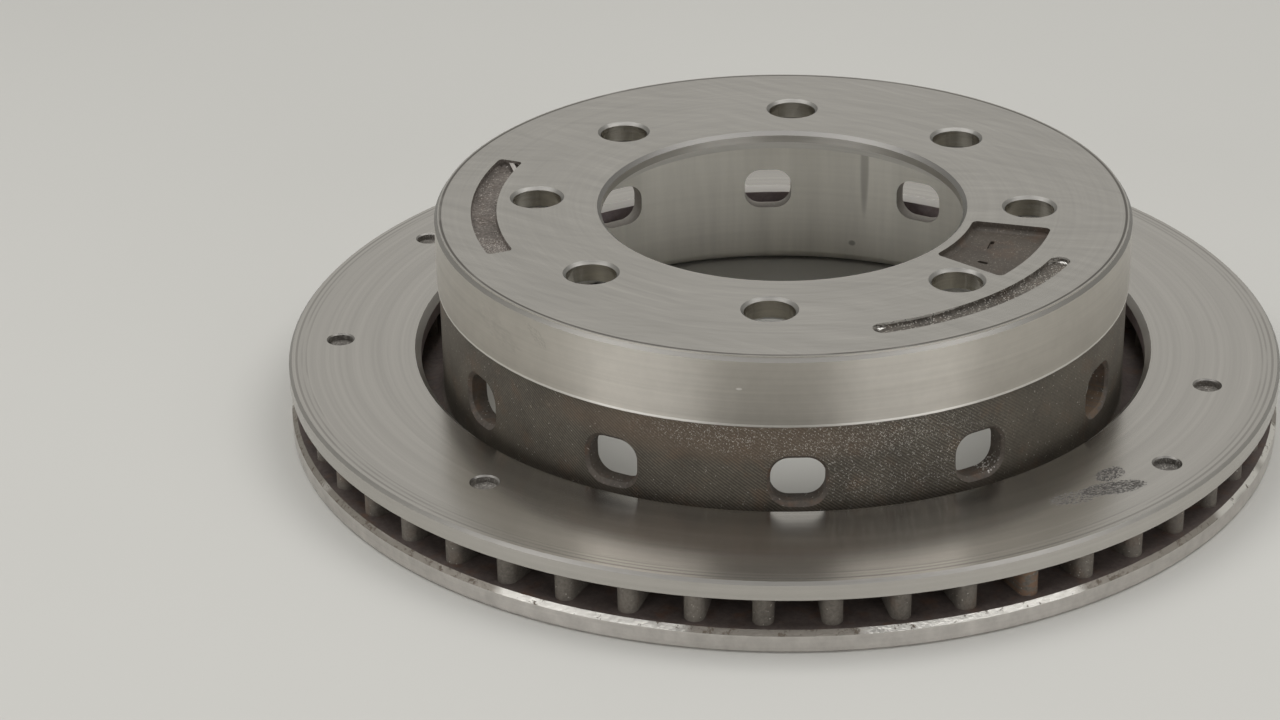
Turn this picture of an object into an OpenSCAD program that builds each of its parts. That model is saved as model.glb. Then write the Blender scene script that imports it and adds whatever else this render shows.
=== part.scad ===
// Slip-over brake disc: a vented friction ring and its hat, cast as one piece and then turned.
// The disc lies on its inboard friction face. The axis is Z, Z = 0 is that face, and the hat's
// wheel face is at the top. An angle is measured from +X, counter-clockwise seen from above.

/* [Friction ring] */
// Outside diameter of the friction ring
ring_d = 335.6; // [322:0.2:345]
// Thickness of the outboard plate, the upper one
outboard_t = 6.4; // [4:0.1:9]
// Thickness of the inboard plate, which carries the hat
inboard_t = 7.4; // [5:0.1:10]
// Height of the air gap between the plates
vent_gap = 10.6; // [7:0.1:14]
// Width of the open groove between the hat wall and the outboard plate
groove_w = 7.3; // [5:0.1:10]
// Chamfer on the outer edge of the outboard friction face
rim_chamfer = 1; // [0.4:0.1:2]
// Chamfer on the inner edge of the outboard plate
groove_chamfer = 2; // [0.5:0.1:3]
// Chamfer on the inner upper edge of the inboard rim, where the casting was fettled
vent_chamfer = 1.5; // [0.5:0.1:2.5]

/* [Vanes] */
// Number of cooling vanes
vane_count = 49; // [36:1:54]
// Thickness of a vane
vane_w = 6.5; // [4.5:0.1:8]
// Distance from the rim to the round nose of a vane
vane_rim_gap = 3.5; // [1.5:0.1:8]
// Distance from the edge of the outboard plate's hole to the inner nose of a vane
vane_groove_gap = 3; // [1:0.1:8]
// Angle of the first vane
vane_phase = -91.8; // [-180:0.1:180]

/* [Hat] */
// Overall height, from the inboard friction face to the wheel face
hat_h = 72.8; // [64:0.1:85]
// Outside diameter of the turned band round the top of the hat
band_d = 233; // [228:0.2:238]
// Height of the turned band
band_h = 24.1; // [16:0.1:26]
// Depth of the step from the turned band down to the cast wall
band_step = 0.7; // [0.3:0.1:2]
// Chamfer on the edge of the wheel face
crown_chamfer = 1.6; // [0.5:0.1:3]
// Thickness of the hat wall below the band
wall_t = 6.4; // [5:0.1:9]
// Thickness of the wheel flange
flange_t = 8.4; // [6:0.1:12]
// Radius of the fillet between the wall and the underside of the flange
flange_fillet = 5; // [2:0.5:6]
// Radius of the fillet between the wall and the inboard plate
plate_fillet = 4; // [1:0.5:4.5]
// Radius of the round edge at the mouth of the hat
mouth_round = 3; // [2:0.5:5.5]

/* [Hub side] */
// Width of the cast margin at the mouth, between the hat and the inboard friction face
margin_w = 9.5; // [6:0.5:12]
// Depth of that margin below the friction face
margin_depth = 1.2; // [0.5:0.1:2.5]
// Diameter of the machined hub seat under the flange
seat_d = 196; // [188:1:198]
// Depth of the hub seat in the underside of the flange
seat_depth = 0.6; // [0.3:0.1:1.5]

/* [Bore and wheel studs] */
// Diameter of the pilot bore
bore_d = 121.3; // [116:0.1:126]
// Chamfer on the upper end of the pilot bore
bore_chamfer = 1.3; // [0.5:0.1:2]
// Chamfer on the lower end of the pilot bore, which leads the disc over its hub
bore_lead = 4; // [1:0.1:4.5]
// Diameter of the circle of stud holes
stud_circle_d = 165.1; // [162:0.1:168]
// Number of stud holes
stud_count = 8; // [6:1:8]
// Diameter of a stud hole
stud_hole_d = 16.4; // [13:0.1:17.5]
// Chamfer on both ends of a stud hole
stud_chamfer = 1; // [0.3:0.1:1.4]
// Angle of the first stud hole
stud_phase = -2.5; // [-6:0.1:-1.5]

/* [Windows in the hat wall] */
// Number of windows
window_count = 12; // [8:1:14]
// Width of a window
window_w = 17.3; // [12:0.1:20]
// Height of a window
window_h = 15.2; // [10:0.1:17]
// Radius of a window's corners
window_corner = 6; // [2:0.5:6]
// Height of the middle of the windows above the inboard friction face
window_mid = 29.8; // [27:0.1:31]
// Chamfer on the outer edge of a window
window_chamfer = 1.4; // [0.4:0.1:2]
// Angle of the first window
window_phase = -87.3; // [-180:0.1:180]

/* [Recesses in the wheel face] */
// Middle radius of the wide arc recess
wide_arc_r = 99.9; // [99:0.1:102]
// Width of the wide arc recess
wide_arc_w = 8.6; // [5:0.1:9]
// Depth of the wide arc recess
wide_arc_depth = 2.6; // [1:0.1:4]
// Angle at which the wide arc recess starts
wide_arc_from = 159.5; // [155:0.5:170]
// Angle that the wide arc recess spans
wide_arc_span = 44.5; // [20:0.5:60]
// Middle radius of the narrow arc recess
narrow_arc_r = 100.6; // [99:0.1:102]
// Width of the narrow arc recess
narrow_arc_w = 6.7; // [4:0.1:8]
// Depth of the narrow arc recess
narrow_arc_depth = 2.2; // [1:0.1:4]
// Angle at which the narrow arc recess starts
narrow_arc_from = -73.7; // [-80:0.5:-60]
// Angle that the narrow arc recess spans
narrow_arc_span = 48; // [20:0.5:60]
// Inner radius of the cast pad recess
pad_r = 64.9; // [64:0.1:68]
// Radial length of the cast pad recess
pad_len = 25.9; // [18:0.1:27]
// Depth of the cast pad recess
pad_depth = 3; // [1:0.1:4]
// Angle at which the cast pad recess starts
pad_from = -39.8; // [-40:0.1:-36]
// Angle that the cast pad recess spans
pad_span = 26.4; // [15:0.1:28]
// Radius of the cast pad recess's corners
pad_corner = 2; // [1.5:0.1:4]

/* [Drill marks in the friction face] */
// Diameter of a drill mark
mark_d = 8.6; // [5:0.1:12]
// Depth of the straight wall of a drill mark
mark_depth = 2.4; // [1:0.1:3]
// Chamfer on the edge of a drill mark
mark_chamfer = 0.5; // [0.2:0.1:1]
// Point angle of the drill that made the marks
mark_point = 150; // [118:1:170]

/* [Hidden] */
$fn = 96;

// How far a cutter runs past the face that it opens
over = 1;
// How far joined shapes run into each other
lap = 0.4;
// How far a rounding inside a recess crosses the faces that it joins, instead of only touching
cross = 0.02;

ring_r = ring_d / 2;
band_r = band_d / 2;
wall_r = band_r - band_step;
wall_in_r = wall_r - wall_t;
outboard_in_r = wall_r + groove_w;
ring_t = inboard_t + vent_gap + outboard_t;
outboard_z = inboard_t + vent_gap;
flange_z = hat_h - flange_t;
bore_r = bore_d / 2;

// Small break on the edges that the lathe left at the vents and under the band
edge_break = 0.4;
// Broken edge of the inboard rim at the foot
foot_chamfer = 0.8;
// Rounding between the wall and the floor of an arc recess
arc_ease = 1;
// Corner radii of the arc recesses, of which the narrow one has ends that are almost half round
wide_arc_corner = 1.6;
narrow_arc_corner = 0.48 * narrow_arc_w;
// Rounding between the wall and the floor of the pad recess
pad_ease = 1.5;
// Width and height of the casting seam in the wide arc recess, which runs from the middle of the
// far end to the inner wall, and its turn from the run of the arc
seam_w = 1.5;
seam_h = 1.7;
seam_turn = 37;

// Each recess as its inner and outer radius, first angle, span, depth, corner radius and the
// rounding at its foot
WIDE_ARC = [
    wide_arc_r - wide_arc_w / 2, wide_arc_r + wide_arc_w / 2,
    wide_arc_from, wide_arc_span, wide_arc_depth, wide_arc_corner, arc_ease
];
NARROW_ARC = [
    narrow_arc_r - narrow_arc_w / 2, narrow_arc_r + narrow_arc_w / 2,
    narrow_arc_from, narrow_arc_span, narrow_arc_depth, narrow_arc_corner, arc_ease
];
PAD = [pad_r, pad_r + pad_len, pad_from, pad_span, pad_depth, pad_corner, pad_ease];

// Radius of the flat that the drill's chisel edge leaves at the bottom of a mark
mark_tip_r = 0.5;
// Each drill mark as its distance from the axis and its angle
DRILL_MARKS = [[150.7, -177.3], [149.4, 149.4], [141.7, -130.8], [152.6, -37.4], [145.4, -15.5]];

// Each small dent in the pad recess as its radius, angle, length, width and turn from the radius
PAD_DENTS = [[73.8, -22.2, 6.5, 1.5, 97], [76.9, -32.4, 3.6, 1.5, 4]];
dent_depth = 0.9;

// The corner between two edges and a quarter circle of radius r that touches both, or crosses
// them a little, at the point at and towards side. It fills an inside corner, or is cut away
// from an outside one.
module round_corner(at, r, side, cross = 0) {
    translate(at)
        mirror([side.x < 0 ? 1 : 0, 0])
            mirror([0, side.y < 0 ? 1 : 0])
                difference() {
                    translate([-lap, -lap]) square(r + lap);
                    translate([r, r]) circle(r + cross);
                }
}

// Half section of the hat and the inboard plate, which are one wall of iron
module hat_section() {
    difference() {
        union() {
            translate([wall_in_r, 0]) square([wall_t, hat_h - crown_chamfer]);
            band_section();
            translate([bore_r, flange_z]) square([wall_r - bore_r - lap, flange_t]);
            inboard_plate_section();
            round_corner([wall_in_r, flange_z], flange_fillet, [-1, -1]);
            round_corner([wall_r, inboard_t], plate_fillet, [1, 1]);
        }
        translate([wall_in_r - over, -over]) square([margin_w + over, margin_depth + over]);
        translate([0, flange_z - over]) square([seat_d / 2, seat_depth + over]);
        round_corner([wall_in_r, margin_depth], mouth_round, [1, 1]);
    }
}

// The turned band round the top of the hat, chamfered at the wheel face and broken below
module band_section() {
    polygon([
        [wall_in_r + lap, hat_h - band_h],
        [band_r - edge_break, hat_h - band_h],
        [band_r, hat_h - band_h + edge_break],
        [band_r, hat_h - crown_chamfer],
        [band_r - crown_chamfer, hat_h],
        [wall_in_r + lap, hat_h]
    ]);
}

module inboard_plate_section() {
    polygon([
        [wall_in_r, 0],
        [ring_r - foot_chamfer, 0],
        [ring_r, foot_chamfer],
        [ring_r, inboard_t - vent_chamfer],
        [ring_r - vent_chamfer, inboard_t],
        [wall_in_r, inboard_t]
    ]);
}

module outboard_plate_section() {
    polygon([
        [outboard_in_r, outboard_z],
        [ring_r - edge_break, outboard_z],
        [ring_r, outboard_z + edge_break],
        [ring_r, ring_t - rim_chamfer],
        [ring_r - rim_chamfer, ring_t],
        [outboard_in_r + groove_chamfer, ring_t],
        [outboard_in_r, ring_t - groove_chamfer]
    ]);
}

// One straight vane with round noses, along +X and sunk a little into both plates
module vane() {
    from = outboard_in_r + vane_groove_gap + vane_w / 2;
    to = ring_r - vane_rim_gap - vane_w / 2;
    translate([0, 0, inboard_t - lap])
        linear_extrude(vent_gap + 2 * lap)
            union() {
                translate([from, -vane_w / 2]) square([to - from, vane_w]);
                for (x = [from, to]) translate([x, 0]) circle(d = vane_w);
            }
}

module vanes() {
    for (i = [0 : vane_count - 1]) rotate(vane_phase + i * 360 / vane_count) vane();
}

// A straight hole down through a flange of thickness t whose top is at z, with a chamfer at each end
module chamfered_hole(r, upper, lower, z, t) {
    translate([0, 0, z - t - over]) cylinder(r = r, h = t + 2 * over);
    translate([0, 0, z - upper]) cylinder(r1 = r, r2 = r + upper + over, h = upper + over);
    translate([0, 0, z - t - over]) cylinder(r1 = r + lower + over, r2 = r, h = lower + over);
}

module bore_and_stud_holes() {
    t = flange_t - seat_depth;
    chamfered_hole(bore_r, bore_chamfer, bore_lead, hat_h, t);
    for (i = [0 : stud_count - 1])
        rotate(stud_phase + i * 360 / stud_count)
            translate([stud_circle_d / 2, 0])
                chamfered_hole(stud_hole_d / 2, stud_chamfer, stud_chamfer, hat_h, t);
}

// A rounded rectangle of w by h with corners of radius r
module rounded_rectangle(w, h, r) {
    square([w, h - 2 * r], center = true);
    square([w - 2 * r, h], center = true);
    for (x = [-1, 1], y = [-1, 1]) translate([x * (w / 2 - r), y * (h / 2 - r)]) circle(r);
}

// The chamfer along a straight side of length l, as a wedge that opens along +Z
module straight_chamfer(l, reach) {
    rotate([90, 0, 0])
        linear_extrude(l, center = true)
            polygon([[0, -reach], [reach + over, over], [-over, over], [-over, -reach]]);
}

// The flared outer edge of a window: cones at its corners and wedges along its sides
module window_flare() {
    x = window_w / 2 - window_corner;
    y = window_h / 2 - window_corner;
    rise = window_chamfer + over;
    for (sx = [-1, 1], sy = [-1, 1])
        translate([sx * x, sy * y, -window_chamfer])
            cylinder(r1 = window_corner, r2 = window_corner + rise, h = rise);
    for (s = [0, 180]) rotate(s) {
        if (y > 0) translate([window_w / 2, 0, 0]) straight_chamfer(2 * y, window_chamfer);
        if (x > 0) rotate(90) translate([window_h / 2, 0, 0]) straight_chamfer(2 * x, window_chamfer);
    }
}

// Windows through the hat wall, each cut along the radius through its middle
module windows() {
    for (i = [0 : window_count - 1])
        rotate(window_phase + i * 360 / window_count)
            translate([wall_r, 0, window_mid]) rotate([0, 90, 0]) rotate(90) {
                translate([0, 0, -wall_t - over])
                    linear_extrude(wall_t + 2 * over)
                        rounded_rectangle(window_w, window_h, window_corner);
                window_flare();
            }
}

// Cuts the corner of a recess back to a round one. Its centre is at radius r from the axis and
// meets the side at angle 0, and side is 1 at the outer arc and -1 at the inner one.
module corner_cut(r, corner, side) {
    x = sqrt(pow(r, 2) - pow(corner, 2));
    reach = corner + over;
    along = [x, corner] * side * reach / r;
    translate([x, corner])
        difference() {
            polygon([[0, 0], along, along - [0, reach], [0, -reach]]);
            circle(corner + cross);
        }
}

// Outline of a recess between two radii, from angle 0 to span, with rounded corners
module recess_outline(r_in, r_out, span, corner) {
    far = 2 * r_out;
    difference() {
        intersection() {
            difference() {
                circle(r_out);
                circle(r_in);
            }
            polygon([[0, 0], [far, 0], far * [cos(span), sin(span)]]);
        }
        corner_cut(r_in + corner, corner, -1);
        corner_cut(r_out - corner, corner, 1);
        rotate(span) mirror([0, 1]) corner_cut(r_in + corner, corner, -1);
        rotate(span) mirror([0, 1]) corner_cut(r_out - corner, corner, 1);
    }
}

// A recess of the given form, as a cutter for the wheel face
module recess(form) {
    translate([0, 0, hat_h - form[4]]) rotate(form[2])
        linear_extrude(form[4] + over) recess_outline(form[0], form[1], form[3], form[5]);
}

// The iron that rounds the foot of a recess, where its walls meet the floor
module recess_foot(form) {
    r_in = form[0];
    r_out = form[1];
    span = form[3];
    ease = form[6];
    translate([0, 0, hat_h - form[4]]) rotate(form[2]) {
        rotate_extrude(angle = span) {
            round_corner([r_in, 0], ease, [1, 1], cross);
            round_corner([r_out, 0], ease, [-1, 1], cross);
        }
        for (end = [0, 1])
            rotate(end * span) mirror([0, end]) translate([r_in, 0])
                rotate([90, 0, 90]) linear_extrude(r_out - r_in)
                    round_corner([0, 0], ease, [1, 1], cross);
    }
}

// The thin casting seam at the far end of the wide arc recess, sunk into both walls that it meets
module seam() {
    len = wide_arc_w / 2 / sin(seam_turn);
    rotate(wide_arc_from)
        translate([wide_arc_r, 0, hat_h - wide_arc_depth - lap]) rotate(seam_turn)
            translate([-seam_w / 2, -over, 0]) cube([seam_w, len + 2 * over, seam_h + lap]);
}

module pad_dents() {
    for (d = PAD_DENTS)
        rotate(d[1]) translate([d[0], 0, hat_h - pad_depth - dent_depth]) rotate(d[4] - 90)
            pad_dent(d[2], d[3]);
}

// A short dent with round ends, longer along Y than it is wide
module pad_dent(len, w) {
    linear_extrude(dent_depth + over)
        union() {
            square([w, len - w], center = true);
            for (s = [-1, 1]) translate([0, s * (len - w) / 2]) circle(d = w);
        }
}

// A blind mark from a drill with a blunt point, chamfered at the friction face
module drill_mark() {
    r = mark_d / 2;
    point_h = (r - mark_tip_r) / tan(mark_point / 2);
    translate([0, 0, -mark_depth]) cylinder(r = r, h = mark_depth + over);
    translate([0, 0, -mark_depth - point_h]) cylinder(r1 = mark_tip_r, r2 = r, h = point_h);
    rise = mark_chamfer + over;
    translate([0, 0, -mark_chamfer]) cylinder(r1 = r, r2 = r + rise, h = rise);
}

module drill_marks() {
    for (m = DRILL_MARKS) rotate(m[1]) translate([m[0], 0, ring_t]) drill_mark();
}

// The recesses in the wheel face, with what the mould left in them
module cut_recesses() {
    difference() {
        union() {
            difference() {
                children();
                recess(WIDE_ARC);
                recess(NARROW_ARC);
                recess(PAD);
            }
            recess_foot(WIDE_ARC);
            recess_foot(NARROW_ARC);
            recess_foot(PAD);
            seam();
        }
        pad_dents();
    }
}

// The whole casting: both turned sections joined by the vanes, then drilled and cut
module brake_disc() {
    color([0.56, 0.55, 0.53])
        cut_recesses()
            difference() {
                union() {
                    rotate_extrude() hat_section();
                    rotate_extrude() outboard_plate_section();
                    vanes();
                }
                bore_and_stud_holes();
                windows();
                drill_marks();
            }
}

brake_disc();
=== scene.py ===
"""The looks of a vented slip-over brake disc, put on its packed casting.

The casting is one solid. Its faces are sorted by where they lie into the surfaces that the mould,
the lathe, the drill and the grinder left on it, and each of them gets a finish of its own.
Radii and heights are in millimetres, and azimuths in degrees, counter-clockwise from +X.
"""

import logging
import math
from dataclasses import dataclass, field, replace
from enum import Enum
from typing import Optional, Union

import bpy
from mathutils import Matrix, Vector

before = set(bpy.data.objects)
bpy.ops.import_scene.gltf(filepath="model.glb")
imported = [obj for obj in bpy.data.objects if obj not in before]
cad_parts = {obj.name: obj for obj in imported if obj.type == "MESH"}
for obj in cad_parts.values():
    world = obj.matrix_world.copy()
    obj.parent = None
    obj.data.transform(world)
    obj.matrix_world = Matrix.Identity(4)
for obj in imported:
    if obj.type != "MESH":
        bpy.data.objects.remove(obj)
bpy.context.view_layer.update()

log = logging.getLogger("brake_disc_looks")

MM = 0.001
CASTING = "brake_disc"
PLAY = 0.02         # how far a mesh face's middle may lie off its own surface, in millimetres
CHORD = 0.1         # how far a mesh face's middle may lie inside its round wall, in millimetres
QUARTER_TURN = 0.25

Colour = tuple[float, float, float]
Number = Union[float, int, "Signal"]

# The colour of thin dark lines and dark patches. On the wheel face's outer edge it is painted shade,
# for the dark that this edge reflects.
DARK_MARK: Colour = (0.085, 0.074, 0.064)
STAIN: Colour = (0.048, 0.043, 0.039)
RUST: Colour = (0.20, 0.095, 0.045)
BARE: Colour = (0.80, 0.78, 0.74)


class Feed(Enum):
    """The way the tool moved while it turned a surface, which sets how its rings lie."""

    ACROSS = "across a flat face, so the rings change with the radius"
    ALONG = "along a round wall, so the rings change with the height"


class Texture(Enum):
    """How a patch on a surface is filled in."""

    SMOOTH = "evenly, with a soft edge"
    RAGGED = "in ragged flecks that thicken towards the middle"
    GRAINS = "in a scatter of small round grains"


class Signal:
    """A value, vector or colour inside a material, with Python's operators as Math nodes."""

    def __init__(self, graph: "Graph", socket: bpy.types.NodeSocket) -> None:
        """Wraps one output socket of a graph."""
        self.graph = graph
        self.socket = socket

    def __add__(self, other: Number) -> "Signal":
        """The sum of two values."""
        return self.graph.maths("ADD", self, other)

    def __radd__(self, other: Number) -> "Signal":
        """The sum of two values."""
        return self.graph.maths("ADD", other, self)

    def __sub__(self, other: Number) -> "Signal":
        """This value less the other."""
        return self.graph.maths("SUBTRACT", self, other)

    def __rsub__(self, other: Number) -> "Signal":
        """The other value less this one."""
        return self.graph.maths("SUBTRACT", other, self)

    def __mul__(self, other: Number) -> "Signal":
        """The product of two values."""
        return self.graph.maths("MULTIPLY", self, other)

    def __rmul__(self, other: Number) -> "Signal":
        """The product of two values."""
        return self.graph.maths("MULTIPLY", other, self)

    def __truediv__(self, other: Number) -> "Signal":
        """This value over the other."""
        return self.graph.maths("DIVIDE", self, other)

    def __rtruediv__(self, other: Number) -> "Signal":
        """The other value over this one."""
        return self.graph.maths("DIVIDE", other, self)

    def __pow__(self, other: Number) -> "Signal":
        """This value to a power."""
        return self.graph.maths("POWER", self, other)

    def rises(self, low: float, high: float) -> "Signal":
        """A smooth step from 0 at low to 1 at high, or falling where low is above high.

        Args:
            low: the value at which the step is 0.
            high: the value at which the step is 1.

        Returns:
            The step, between 0 and 1.
        """
        ends = {"From Min": min(low, high), "From Max": max(low, high)}
        settings = {"data_type": "FLOAT", "interpolation_type": "SMOOTHSTEP"}
        step = self.graph.node("ShaderNodeMapRange", settings, {"Value": self, **ends})
        return step if low < high else 1 - step

    def between(self, low: float, high: float, soft: float) -> "Signal":
        """1 inside a range and 0 outside it, with edges that fade over the width soft."""
        return self.rises(low - soft, low) * self.rises(high + soft, high)

    def swing(self, amount: float) -> "Signal":
        """How far this noise is off its middle of 0.5, times an amount."""
        return (self - 0.5) * amount


class Graph:
    """A node tree that starts empty."""

    def __init__(self, tree: bpy.types.NodeTree) -> None:
        """Empties a node tree and keeps it."""
        self.tree = tree
        self.tree.nodes.clear()

    def node(self, kind: str, settings: dict, sockets: dict, output: Union[int, str] = 0) -> Signal:
        """Adds one node.

        Args:
            kind: Blender's name for the node's type.
            settings: the node's own options, which are set before its sockets.
            sockets: values or signals for its inputs, by their names or places.
            output: the name or place of the output that is wanted.

        Returns:
            The signal at that output.
        """
        node = self.tree.nodes.new(kind)
        for option, choice in settings.items():
            setattr(node, option, choice)
        for place, value in sockets.items():
            if isinstance(value, Signal):
                self.tree.links.new(value.socket, node.inputs[place])
            else:
                node.inputs[place].default_value = value
        return Signal(self, node.outputs[output])

    def end(self, kind: str, shader: Signal) -> None:
        """Links a shader to the tree's output node, which has this type."""
        output = self.tree.nodes.new(kind)
        self.tree.links.new(shader.socket, output.inputs["Surface"])

    def maths(self, operation: str, *values: Number) -> Signal:
        """One Math node on one or two values."""
        return self.node("ShaderNodeMath", {"operation": operation}, dict(enumerate(values)))

    def blend(self, share: Number, below: Union[Colour, Signal],
              above: Union[Colour, Signal]) -> Signal:
        """Lays one colour over another.

        Args:
            share: how much of the upper colour shows, from 0 to 1.
            below: the lower colour.
            above: the upper colour.

        Returns:
            The blended colour.
        """
        settings = {"data_type": "RGBA", "blend_type": "MIX", "clamp_factor": True}
        full = [c if isinstance(c, Signal) else (*c, 1.0) for c in (below, above)]
        return self.node("ShaderNodeMix", settings, {0: share, 6: full[0], 7: full[1]}, 2)

    def dim(self, colour: Union[Colour, Signal], factor: Number) -> Signal:
        """A colour made lighter or darker by a factor."""
        sockets = {0: colour, "Scale": factor}
        return self.node("ShaderNodeVectorMath", {"operation": "SCALE"}, sockets)


@dataclass(frozen=True)
class Spot:
    """The shaded point: its X, Y, Z and radius in millimetres and its azimuth in degrees."""

    x: Signal
    y: Signal
    z: Signal
    radius: Signal
    azimuth: Signal


class Skin(Graph):
    """The nodes of one material, which end in one Principled surface."""

    def __init__(self, name: str) -> None:
        """Starts an empty material.

        Args:
            name: the material's name.
        """
        self.material = bpy.data.materials.new(name)
        self.material.use_nodes = True
        super().__init__(self.material.node_tree)

    def spot(self) -> Spot:
        """Finds where the shaded point lies on the disc.

        Returns:
            The place of the point.
        """
        metres = self.node("ShaderNodeTexCoord", {}, {}, "Object")
        x, y, z = (self.node("ShaderNodeSeparateXYZ", {}, {"Vector": metres}, axis) / MM
                   for axis in "XYZ")
        turn = self.maths("ARCTAN2", y, x) * math.degrees(1)
        return Spot(x, y, z, (x * x + y * y) ** 0.5, turn)

    def vector(self, x: Number, y: Number, z: Number) -> Signal:
        """A vector from its three parts."""
        return self.node("ShaderNodeCombineXYZ", {}, {"X": x, "Y": y, "Z": z})

    def noise(self, x: Number, y: Number, z: Number, detail: float = 2.0,
              rough: float = 0.5) -> Signal:
        """Cloudy noise about 0.5, whose clouds are about one unit wide."""
        sockets = {"Vector": self.vector(x, y, z), "Scale": 1.0, "Detail": detail, "Roughness": rough}
        return self.node("ShaderNodeTexNoise", {"noise_dimensions": "3D"}, sockets, "Fac")

    def clouds(self, spot: Spot, size: float, seed: float = 0.0, detail: float = 3.0,
               rough: float = 0.5) -> Signal:
        """Noise that is as wide as it is high, with clouds of this size in millimetres."""
        return self.noise(spot.x / size + seed, spot.y / size, spot.z / size, detail, rough)

    def rings(self, spot: Spot, across: Signal, pitch: float, arc: float, detail: float,
              seed: float = 0.0, rough: float = 0.62) -> Signal:
        """Noise that is drawn out round the axis, like the marks of a lathe tool.

        Args:
            spot: the shaded point.
            across: the radius or the height, along which the tool was fed.
            pitch: how wide a ring is, in millimetres.
            arc: how long a ring stays the same, in degrees.
            detail: how many finer layers of rings lie within.
            seed: sets one layer of rings apart from another.
            rough: how much the finer layers count.

        Returns:
            The noise, about 0.5.
        """
        reach = math.degrees(1) / arc
        cos, sin = spot.x / spot.radius, spot.y / spot.radius
        return self.noise(across / pitch, cos * reach + seed, sin * reach, detail, rough)

    def grains(self, spot: Spot, size: float, share: float, seed: float = 0.0) -> Signal:
        """A scatter of round grains.

        Args:
            spot: the shaded point.
            size: the mean distance between neighbours, in millimetres.
            share: how many of them there are, from 0 to 1.
            seed: sets one scatter apart from another.

        Returns:
            1 in a grain, 0 between them.
        """
        where = self.vector(spot.x / size + seed, spot.y / size, spot.z / size)
        settings = {"voronoi_dimensions": "3D", "feature": "F1"}
        sockets = {"Vector": where, "Scale": 1.0}
        off_middle = self.node("ShaderNodeTexVoronoi", settings, sockets, "Distance")
        rim, heart, group = 0.46, 0.22, 1.9
        groups = self.clouds(spot, group * size, seed + 9, detail=1)
        level, fade = 0.72 - 0.38 * share, 0.04
        return off_middle.rises(rim, heart) * groups.rises(level - fade, level + fade)

    def bump(self, height: Signal, depth_mm: float) -> Signal:
        """A normal from a height between 0 and 1 that stands for a depth in millimetres."""
        sockets = {"Strength": 1.0, "Distance": depth_mm * MM, "Height": height}
        return self.node("ShaderNodeBump", {}, sockets)

    def surface(self, sockets: dict[str, Union[Number, Colour]]) -> bpy.types.Material:
        """Ends the graph in a Principled surface with these sockets, and gives the material."""
        self.end("ShaderNodeOutputMaterial", self.node("ShaderNodeBsdfPrincipled", {}, sockets))
        return self.material


@dataclass
class Coat:
    """What a surface looks like so far, before the next mark is laid over it."""

    colour: Signal
    roughness: Number
    metallic: Number

    def cover(self, share: Signal, colour: Colour, roughness: float, metallic: float) -> None:
        """Lays another look over this one.

        Args:
            share: how much of the other look shows, from 0 to 1.
            colour: its base colour.
            roughness: its roughness.
            metallic: how metallic it is.
        """
        self.colour = self.colour.graph.blend(share, self.colour, colour)
        self.roughness = self.roughness + (roughness - self.roughness) * share
        self.metallic = self.metallic + (metallic - self.metallic) * share

    def sockets(self) -> dict[str, Number]:
        """The Principled sockets that show this look."""
        return {"Base Color": self.colour, "Roughness": self.roughness, "Metallic": self.metallic}


@dataclass(frozen=True)
class Line:
    """A thin line round the axis, at one radius of a face or one height of a wall."""

    at: float
    width: float
    colour: Colour = DARK_MARK
    opacity: float = 0.5
    broken: float = 0.0
    roughness: float = 0.3
    metallic: float = 1.0
    gap_pitch: float = 4.0
    gap_arc: float = 14.0

    def lay(self, g: Skin, spot: Spot, across: Signal, coat: Coat) -> None:
        """Lays the line on a coat, and breaks it up by the share broken.

        Args:
            g: the material's nodes.
            spot: the shaded point.
            across: the radius or the height, along which the line has its width.
            coat: the look so far.
        """
        half = self.width / 2
        share = across.between(self.at - half, self.at + half, half) * self.opacity
        if self.broken:
            gaps = g.rings(spot, across, self.gap_pitch, self.gap_arc, detail=2, seed=self.at)
            start, end = 0.62 - 0.2 * self.broken, 0.66
            share = share * (1 - gaps.rises(start, end) * self.broken)
        coat.cover(share, self.colour, self.roughness, self.metallic)


@dataclass(frozen=True)
class Patch:
    """An oval patch of dirt, rust, grains, bare metal, a plain dark streak or painted light, at an
    azimuth and a radius or height.

    Where every isn't 0, the patch comes again each time that many degrees on.
    """

    azimuth: float
    middle: float
    around: float
    across: float
    lean: float = 0.0
    texture: Texture = Texture.SMOOTH
    grain: float = 1.0
    share: float = 0.5
    colour: Colour = DARK_MARK
    opacity: float = 0.9
    roughness: float = 0.5
    metallic: float = 0.3
    core: float = 0.2
    every: float = 0.0
    fleck_stretch: float = 2.5

    def lay(self, g: Skin, spot: Spot, across: Signal, coat: Coat) -> None:
        """Lays the patch on a coat.

        Args:
            g: the material's nodes.
            spot: the shaded point.
            across: the radius or the height, at right angles to the way round the axis.
            coat: the look so far.
        """
        turn = spot.azimuth - self.azimuth
        if self.every:
            half = self.every / 2
            turn = g.maths("FLOORED_MODULO", turn + half, self.every) - half
        along = turn * spot.radius * math.radians(1)
        over = across - self.middle
        cos, sin = math.cos(math.radians(self.lean)), math.sin(math.radians(self.lean))
        u = (along * cos + over * sin) / self.around
        v = (over * cos - along * sin) / self.across
        oval = (u * u + v * v).rises(1.0, self.core)
        if self.texture is Texture.RAGGED:
            along, over = u * self.around / self.fleck_stretch, v * self.across
            flecks = g.noise(along / self.grain, over / self.grain, self.middle, detail=4, rough=0.7)
            level, fade = 0.64 - 0.22 * self.share, 0.07
            oval = (flecks - (1 - oval) * 0.5).rises(level, level + fade)
        elif self.texture is Texture.GRAINS:
            oval = oval * g.grains(spot, self.grain, self.share, self.middle)
        coat.cover(oval * self.opacity, self.colour, self.roughness, self.metallic)


Mark = Union[Line, Patch]


def stain(azimuth: float, middle: float, around: float, across: float, lean: float,
          share: float) -> Patch:
    """One lobe of the dark stain on the friction face, which covers this share of the iron."""
    return Patch(azimuth, middle, around, across, lean, Texture.RAGGED, grain=0.4, share=share,
                 colour=STAIN, opacity=1.0, roughness=0.65, metallic=0.0, core=0.3)


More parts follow.
